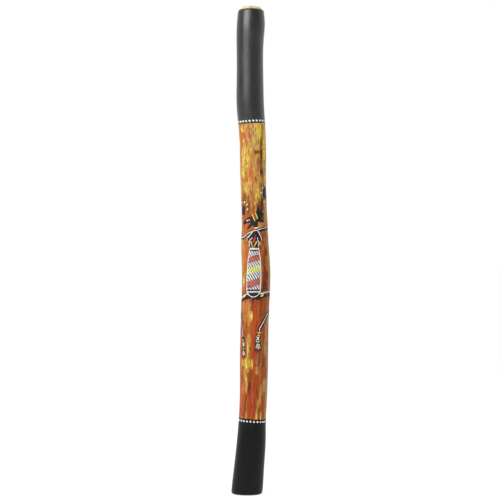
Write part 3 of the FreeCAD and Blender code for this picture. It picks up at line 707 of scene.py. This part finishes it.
UPPER_TONES = [YELLOW_TONE, STRAW, STRAW, TAN_AND_EDGE_REFLECTION, OCHRE, OCHRE_BROWN, CLAY, BROWN]


UPPER_FROM = 690  # above this height the dabs are mostly yellow
BROAD_STRENGTH = 0.92
DABS = 1400
DAB_HEIGHTS = 185, 912


def small_strokes():
    """Small thin dabs strewn over the broad strokes, with a strength of their own each."""
    draw = random.Random(5)
    strokes = []
    for _ in range(DABS):
        z = draw.uniform(*DAB_HEIGHTS)
        tones = UPPER_TONES if z > UPPER_FROM else TONES
        strokes.append((
            draw.uniform(-180, 180), z, draw.uniform(1.5, 5), draw.uniform(3, 15), draw.choice(tones),
            draw.uniform(0.2, 0.6),
        ))
    return strokes


# A stroke's paint thins out from INSIDE to OUTSIDE, in half widths from its middle. None reaches FURTHEST.
INSIDE, OUTSIDE, FURTHEST = 0.98, 1.22, 1.7


def ground_colours(azimuth, z, points):
    """The colour at each point: broad strokes, then small dabs, each with bristle-torn edges."""
    degrees, height = np.degrees(azimuth), z / MM
    torn = ripple(points, 0.0035, 3, 7.0, 6.0)
    cloud = ripple(points, 0.014, 3, 8.0, 2.5)
    colour = np.empty(points.shape[:-1] + (3,))
    colour[:] = OCHRE[:3]
    broad = [(*stroke, tone, BROAD_STRENGTH) for tone, group in STROKES for stroke in group]
    for a0, z0, half_a, half_z, tone, strength in broad + small_strokes():
        rows = np.nonzero((np.abs(height - z0) < half_z * FURTHEST).any(axis=1))[0]
        if not len(rows):
            continue
        part = slice(rows[0], rows[-1] + 1)
        across = (degrees[part] - a0 + 180) % 360 - 180
        away = np.hypot(across / half_a, (height[part] - z0) / half_z)
        ragged = away + 0.36 * torn[part] + 0.28 * cloud[part]
        mask = np.clip((OUTSIDE - ragged) / (OUTSIDE - INSIDE), 0, 1)
        mask = (mask * mask * (3 - 2 * mask) * strength)[..., None]
        colour[part] = colour[part] * (1 - mask) + np.array(tone[:3]) * mask
    return colour, torn


def ground_coat():
    """The brushed ground, running a little way under both black coats."""
    under = 1.2 * MM
    rows = 318
    share = np.linspace(0, 1, rows)[:, None]
    heights = (LOWER_EDGE - under) * (1 - share) + (UPPER_EDGE + under) * share
    azimuth = np.broadcast_to(AZIMUTHS[None], heights.shape)
    points = skin(azimuth, heights)
    colour, torn = ground_colours(azimuth, heights, points)
    rays = level_rays(rows)
    outer = points + rays * (0.05 * MM * np.clip(torn, -1, 1))[..., None]
    obj = closed_coat("brushed_ground", outer, rays, GROUND)
    whole = np.empty((len(obj.data.vertices), 3))
    whole[:] = ORANGE[:3]
    whole[:rows * AROUND] = colour.reshape(-1, 3)
    paint_attribute(obj, "patches", whole)
    return piece(obj, "ground_paint", "brushed_ground_coat")


# ---------------------------------------------------------------- bare log and beeswax


def bare_log():
    """The log under its paint: a rough bore, and bare end grain at the foot."""
    heights = np.linspace(SIDE_HIGH, SIDE_LOW, 60)
    outer = skin(AZIMUTHS[None], heights[:, None], -1.15 * COAT)
    foot_slopes = -np.radians(np.linspace(0, 90, 16))[1:]
    foot, _ = round_over(log_tree, SIDE_LOW, lambda reach: reach - FOOT_ROUND, foot_slopes, 0.2 * MM)
    foot[..., 2] = np.maximum(foot[..., 2], 0)
    bore_heights = np.linspace(1.2 * MM, TOP - 19 * MM, 240)
    radii = round_table(log_tree, bore_heights, inside=True)
    inside = place(AZIMUTHS[None], bore_heights[:, None], radii)
    eaten = ripple(inside, 0.011, 4, 11.0, 2.6)
    channels = np.clip(ripple(inside, 0.006, 2, 12.0, 5.0), 0, 1)
    inside = place(AZIMUTHS[None], bore_heights[:, None], radii + (0.55 * eaten + 0.8 * channels + 0.2) * MM)
    share = np.linspace(0, 0.97, 14)[1:, None, None]
    face = foot[-1] + (inside[0] - foot[-1]) * share
    grain = ripple(face, 0.004, 3, 13.0)
    face[..., 2] = (0.1 + 0.12 * np.clip(grain, -0.8, 1)) * MM
    rim_slopes = np.radians(np.linspace(90, 0, 10))[:-1]
    rim, _ = round_over(log_tree, SIDE_HIGH, lambda reach: SEAT - 4 * MM, rim_slopes, -0.5 * COAT)
    rows = np.concatenate([outer, foot, face, inside, rim])
    obj = ring_shell("bare_log", rows[::-1], WOOD)
    return piece(obj, "wood", "hollow_log")


def arc(centre_r, centre_z, radius, start, end, count):
    """(radius, height) points round a quarter of a profile, angles from level outwards."""
    angles = np.radians(np.linspace(start, end, count))
    return [(centre_r + radius * math.cos(t), centre_z + radius * math.sin(t)) for t in angles]


def wax_ring():
    """The mouthpiece: a thumbed roll of beeswax on the rim, lining the first of the bore."""
    low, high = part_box("beeswax_mouthpiece")
    outer, top, bottom = high.x, high.z, low.z
    bore = next(m["dims"]["r_mm"] for m in frame["record"]["mounts"] if m["name"] == "mouth_bore") * MM
    roll, lip_round = top - TOP - 0.5 * MM, 3.2 * MM
    profile = [(outer - 5 * MM, TOP - 1.2 * MM), (outer - 0.8 * MM, TOP - 0.8 * MM), (outer, TOP - 0.2 * MM)]
    profile += arc(outer - roll, top - roll, roll, 0, 90, 26)
    profile += [((outer - roll + bore + lip_round) / 2, top)]
    profile += arc(bore + lip_round, top - lip_round, lip_round, 90, 180, 14)
    profile += [(bore, top - lip_round - d * MM) for d in range(1, 20, 2)]
    profile += [(bore + 0.4 * MM, bottom), (bore + 2.2 * MM, bottom), (bore + 2.4 * MM, bottom + 8 * MM)]
    profile += [(bore + 2.6 * MM, TOP - 3 * MM)]
    profile = np.array(profile)
    r, z = profile[:, 0][:, None], profile[:, 1][:, None]
    x, y = r * np.sin(AZIMUTHS), -r * np.cos(AZIMUTHS)
    points = np.stack(np.broadcast_arrays(x, y, z), axis=-1)
    worked = np.clip((z - TOP) / (2 * MM), 0, 1)
    lumps = ripple(points, 0.012, 2, 21.0) * 0.55 + ripple(points, 0.004, 2, 22.0) * 0.12
    push = worked * (lumps - 0.45) * MM
    spread = np.stack([np.sin(AZIMUTHS), -np.cos(AZIMUTHS)], axis=-1)[None] * push[..., None]
    side = np.clip((r - (bore + 5 * MM)) / (4 * MM), -1, 1)[..., None]
    points[..., :2] += spread * side
    points[..., 2] += push * np.clip(1 - np.abs(side[..., 0]) * 0.6, 0, 1)
    obj = ring_shell("beeswax_ring", points, WAX)
    return piece(obj, "beeswax", "beeswax_mouthpiece")


# ---------------------------------------------------------------- rings of dots


def islands(name):
    """The points of each separate solid in a node."""
    mesh = nodes[name].data
    parent = list(range(len(mesh.vertices)))

    def root(i):
        while parent[i] != i:
            parent[i] = parent[parent[i]]
            i = parent[i]
        return i

    for edge in mesh.edges:
        a, b = (root(i) for i in edge.vertices)
        parent[a] = b
    groups = {}
    for i, vertex in enumerate(mesh.vertices):
        groups.setdefault(root(i), []).append(tuple(vertex.co))
    return [np.array(points) for points in groups.values()]


def surface_frame(azimuth, z):
    """A point on the painted side with its outward, sideways and upward directions."""
    step = 1.5 * MM
    turn = step / float(skin_radius(azimuth, z))
    here, right, left, up, down = (
        Vector(p) for p in skin(
            np.array([azimuth, azimuth + turn, azimuth - turn, azimuth, azimuth]),
            np.array([z, z, z, z + step, z - step]),
        )
    )
    sideways, upward = (right - left).normalized(), (up - down).normalized()
    return here, sideways.cross(upward).normalized(), sideways, upward


def dot_ring(name, node, draw):
    """Blobs of white paint where the node's dots are, no two quite alike."""
    rings = [0.2, 0.38, 0.54, 0.68, 0.8, 0.9, 0.97, 1.0]
    around = 28
    verts, faces = [], []
    for points in islands(node):
        middle_point = points.mean(axis=0)
        centre = middle(middle_point[2])
        azimuth = math.atan2(middle_point[0] - centre.x, -(middle_point[1] - centre.y))
        here, out, sideways, upward = surface_frame(azimuth, float(middle_point[2]))
        half = np.ptp(points[:, 2]) / 2 * draw.uniform(0.93, 1.1)
        rise = 0.95 * MM * draw.uniform(0.85, 1.1)
        oval, third = draw.uniform(0.0, 0.1), draw.uniform(0.0, 0.05)
        turn, twist = draw.uniform(0, TURN), draw.uniform(0, TURN)
        slide = Vector((draw.uniform(-0.2, 0.2), draw.uniform(-0.2, 0.2))) * half
        start = len(verts)
        verts.append(here + out * rise + sideways * slide.x + upward * slide.y)
        for share in rings + [1.0]:
            sunk = len(verts) - start > around * len(rings)
            height = -0.35 * MM if sunk else rise * (1 - share**2.6) ** 0.75 - 0.02 * MM
            for step in range(around):
                angle = TURN * step / around
                uneven = oval * math.cos(2 * angle + turn) + third * math.cos(3 * angle + twist)
                wide = half * share * (1 + uneven)
                offset = slide * (1 - share)
                verts.append(
                    here + out * height + sideways * (wide * math.cos(angle) + offset.x)
                    + upward * (wide * math.sin(angle) + offset.y)
                )
        for step in range(around):
            after = (step + 1) % around
            faces.append([start, start + 1 + step, start + 1 + after])
            for ring in range(len(rings)):
                low = start + 1 + ring * around
                faces.append([low + step, low + around + step, low + around + after, low + after])
        last = start + 1 + len(rings) * around
        faces.append([last + step for step in range(around)][::-1])
    return piece(new_mesh(name, verts, faces, WHITE), "white_paint", node)


# ---------------------------------------------------------------- the painted animal

GRID = 0.5 * MM  # spacing of the points that feel for a painted shape
FILM = 0.32 * MM  # thickness of a film of the animal's paint
LINE_OVER = 0.62 * FILM  # paint that lies under a line or a mark


def wander(points):
    """Sideways shifts of a few tenths of a millimetre that keep brush strokes from looking ruled."""
    return ripple(points, 0.009, 2, 31.0) * 0.45 * MM, ripple(points, 0.009, 2, 32.0) * 0.45 * MM


BORDER = 6  # grid steps left clear round a shape
FEEL_FROM, FEEL_FOR = 60 * MM, 45 * MM  # where a ray towards the log's middle starts, and how long it is


def painted_field(name):
    """A grid over a node's stretch of the side, holding 1 inside the painted shape and 0 outside."""
    tree = joined_tree([name])
    low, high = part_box(name)
    corners = np.array([tuple(v.co) for v in nodes[name].data.vertices])
    centres = place(0.0, corners[:, 2], 0.0)
    turns = np.arctan2(corners[:, 0] - centres[:, 0], -(corners[:, 1] - centres[:, 1]))
    typical = float(skin_radius(0.0, (low.z + high.z) / 2))
    step = GRID / typical
    azimuths = np.arange(turns.min() - BORDER * step, turns.max() + BORDER * step, step)
    heights = np.arange(low.z - BORDER * GRID, high.z + BORDER * GRID, GRID)
    a, z = np.meshgrid(azimuths, heights)
    shift_a, shift_z = wander(place(a, z, typical))
    inside = np.zeros(a.shape)
    for i in range(len(heights)):
        for j in range(len(azimuths)):
            ray_z = z[i, j] + shift_z[i, j]
            out = outward(a[i, j] + shift_a[i, j] / typical)
            hit = tree.ray_cast(middle(ray_z) + out * FEEL_FROM, -out, FEEL_FOR)
            inside[i, j] = hit[0] is not None
    return a, z, inside


def blur(field, passes):
    """A small smoothing, repeated."""
    for _ in range(passes):
        for axis in (0, 1):
            field = (np.roll(field, 1, axis) + 2 * field + np.roll(field, -1, axis)) / 4
    return field


def contour_cells(field):
    """Polygons covering where the field is over a half, with their points as (row, column) fractions."""
    points, index, cells = [], {}, []

    def corner(i, j):
        key = (i, j)
        if key not in index:
            index[key] = len(points)
            points.append((i, j))
        return index[key]

    def crossing_point(p, q):
        key = (min(p, q), max(p, q))
        if key not in index:
            index[key] = len(points)
            share = min(max((0.5 - field[p]) / (field[q] - field[p]), 0.05), 0.95)
            points.append((p[0] + (q[0] - p[0]) * share, p[1] + (q[1] - p[1]) * share))
        return index[key]

    full = field > 0.5
    near = full[:-1, :-1] | full[1:, :-1] | full[:-1, 1:] | full[1:, 1:]
    for i, j in zip(*np.nonzero(near)):
        ring = [(i, j), (i, j + 1), (i + 1, j + 1), (i + 1, j)]
        cell = []
        for p, q in zip(ring, ring[1:] + ring[:1]):
            if full[p]:
                cell.append(corner(*p))
            if full[p] != full[q]:
                cell.append(crossing_point(p, q))
        cells.append(cell)
    return np.array(points, float), cells


def sample(grid, rows, columns):
    """Values of a grid between its points."""
    i = np.clip(rows.astype(int), 0, grid.shape[0] - 2)
    j = np.clip(columns.astype(int), 0, grid.shape[1] - 2)
    u, v = rows - i, columns - j
    low = grid[i, j] * (1 - v) + grid[i, j + 1] * v
    high = grid[i + 1, j] * (1 - v) + grid[i + 1, j + 1] * v
    return low * (1 - u) + high * u


def painted_film(name, node, material, slot_name, base):
    """A film of paint in a node's shape, `base` above the side: wandering edges and a gently domed top."""
    a, z, inside = painted_field(node)
    shape = blur(inside, 2)
    depth = blur(inside, 5)
    points, cells = contour_cells(shape)
    azimuth, height = sample(a, points[:, 0], points[:, 1]), sample(z, points[:, 0], points[:, 1])
    rise = np.clip((sample(depth, points[:, 0], points[:, 1]) - 0.42) / 0.5, 0, 1)
    on_edge = (points % 1 > 0).any(axis=1)
    rise = np.where(on_edge, 0, 0.35 + 0.65 * rise * (2 - rise))
    spots = place(azimuth, height, skin_radius(azimuth, height))
    streak = ripple(spots, 0.0035, 2, 33.0, 1.6)
    top = base + FILM * rise * (1 + 0.12 * streak)
    top = np.where(on_edge, base - 0.05 * MM, top)
    upper = skin(azimuth, height, top)
    lower = skin(azimuth, height, base - 0.2 * MM)
    count = len(points)
    faces = cells + [[count + k for k in reversed(cell)] for cell in cells]
    border = {}
    for cell in cells:
        for p, q in zip(cell, cell[1:] + cell[:1]):
            if (q, p) in border:
                del border[(q, p)]
            else:
                border[(p, q)] = True
    faces += [[q, p, count + p, count + q] for p, q in border]
    obj = new_mesh(name, np.concatenate([upper, lower]), faces, material)
    return piece(obj, slot_name, node)


# ---------------------------------------------------------------- the stage

DIM_SIDE, BRIGHT_SIDE = 0.2, 1.1  # strength of the studio walls in front and behind
FLOOR_GLOW = 0.8
FLOOR_HALF = 60


def white_stage():
    """A pale floor that runs out to a white studio, whose walls are dimmer in front than behind."""
    n = Nodes("studio_floor")
    cloud = n.noise(n.scaled(0.6, 0.6, 0.6), 1.0, 2, 0.5)
    material = n.finish(n.ramp(cloud, (0.2, grey(0.30)), (0.8, grey(0.33))), 0.9, Specular_IOR_Level=0.0)
    n.shader.inputs["Emission Color"].default_value = grey(1.0)
    n.shader.inputs["Emission Strength"].default_value = FLOOR_GLOW
    corners = [(FLOOR_HALF * x, FLOOR_HALF * y, 0) for x, y in ((-1, -1), (1, -1), (1, 1), (-1, 1))]
    floor = new_mesh("studio_floor", corners, [(0, 1, 2, 3)], material, smooth=False)
    floor.location.z = -0.2 * MM
    world = bpy.data.worlds.new("studio")
    scene.world = world
    world.use_nodes = True
    tree = world.node_tree
    walls = tree.nodes["Background"]
    open_white = tree.nodes.new("ShaderNodeBackground")
    direction = tree.nodes.new("ShaderNodeTexCoord")
    bright_side = tree.nodes.new("ShaderNodeVectorMath")
    bright_side.operation = "DOT_PRODUCT"
    bright_side.inputs[1].default_value = (0.15, 0.97, 0.1)
    level = tree.nodes.new("ShaderNodeMapRange")
    level.interpolation_type = "SMOOTHSTEP"
    for socket, number in zip(level.inputs[1:5], (-0.6, 0.8, DIM_SIDE, BRIGHT_SIDE)):
        socket.default_value = number
    ray = tree.nodes.new("ShaderNodeLightPath")
    pick = tree.nodes.new("ShaderNodeMixShader")
    tree.links.new(direction.outputs["Generated"], bright_side.inputs[0])
    tree.links.new(bright_side.outputs["Value"], level.inputs["Value"])
    tree.links.new(level.outputs["Result"], walls.inputs["Strength"])
    walls.inputs["Color"].default_value = grey(1.0)
    open_white.inputs["Color"].default_value = grey(1.0)
    tree.links.new(ray.outputs["Is Camera Ray"], pick.inputs["Fac"])
    tree.links.new(walls.outputs["Background"], pick.inputs[1])
    tree.links.new(open_white.outputs["Background"], pick.inputs[2])
    tree.links.new(pick.outputs["Shader"], tree.nodes["World Output"].inputs["Surface"])
    return floor


def soft_box(name, place_at, aim, size, power):
    """An area light aimed at a point."""
    lamp = bpy.data.lights.new(name, "AREA")
    lamp.shape = "RECTANGLE"
    lamp.size, lamp.size_y = size
    lamp.energy = power
    obj = bpy.data.objects.new(name, lamp)
    obj.location = place_at
    obj.rotation_euler = (Vector(aim) - Vector(place_at)).to_track_quat("-Z", "Y").to_euler()
    scene.collection.objects.link(obj)
    return obj


CAMERA_DISTANCE = 4.2
FRAME_MARGIN = 1.0275  # height of the picture over the length of the instrument
ASIDE, ABOVE = -2.2 * MM, 0.6 * MM  # the camera's middle from the instrument's


def camera():
    """Level with the middle of the instrument, straight on, the whole length filling the frame."""
    low, high = cad_box
    view = bpy.data.cameras.new("camera")
    view.sensor_fit = "HORIZONTAL"
    view.angle = 2 * math.atan(LENGTH * FRAME_MARGIN / 2 / CAMERA_DISTANCE)
    obj = bpy.data.objects.new("camera", view)
    obj.location = ((low[0] + high[0]) / 2 + ASIDE, -CAMERA_DISTANCE, LENGTH / 2 + ABOVE)
    obj.rotation_euler = (math.pi / 2, 0, 0)
    scene.collection.objects.link(obj)
    scene.camera = obj


mouth_coat()
bell_coat()
ground_coat()
bare_log()
wax_ring()
draw = random.Random(11)
dot_ring("upper_dots", "upper_dot_ring", draw)
dot_ring("lower_dots", "lower_dot_ring", draw)

# piece, node, paint, slot, and how far above the side it starts
FILMS = [
    ("body_outline", "kangaroo_body_outline", WHITE, "white_paint", 0.02 * MM),
    ("body_cream_bands", "kangaroo_body_cream_bands", CREAM_HATCH, "cream_paint", 0.0),
    ("body_red_bands", "kangaroo_body_red_bands", RED_HATCH, "red_paint", 0.0),
    ("body_yellow_band", "kangaroo_body_yellow_band", YELLOW_HATCH, "yellow_paint", 0.0),
    ("body_dark_bands", "kangaroo_body_dark_bands", FIGURE_BLACK, "dark_paint", 0.0),
    ("head", "kangaroo_head", FIGURE_BLACK, "dark_paint", 0.0),
    ("chest", "kangaroo_chest", FIGURE_BLACK, "dark_paint", 0.0),
    ("left_arm", "kangaroo_left_arm", FIGURE_BLACK, "dark_paint", 0.0),
    ("right_arm", "kangaroo_right_arm", FIGURE_BLACK, "dark_paint", 0.0),
    ("left_leg", "kangaroo_left_leg", FIGURE_BLACK, "dark_paint", 0.0),
    ("right_leg", "kangaroo_right_leg", FIGURE_BLACK, "dark_paint", 0.0),
    ("tail", "kangaroo_tail", FIGURE_BLACK, "dark_paint", 0.0),
    ("white_claws", "kangaroo_white_claws", WHITE, "white_paint", 0.0),
    ("white_lines", "kangaroo_white_lines", WHITE, "white_paint", LINE_OVER),
    ("yellow_marks", "kangaroo_yellow_marks", YELLOW, "yellow_paint", LINE_OVER),
    ("red_marks", "kangaroo_red_marks", RED, "red_paint", LINE_OVER),
]
for name, node, paint, slot_name, under in FILMS:
    painted_film(name, node, paint, slot_name, under)

floor = white_stage()
key_light = soft_box("key", place_at=(-1.65, -2.1, 2.3), aim=(0, 0, 0.8), size=(2.4, 1.4), power=80)
camera()
scene.view_settings.view_transform = "Standard"
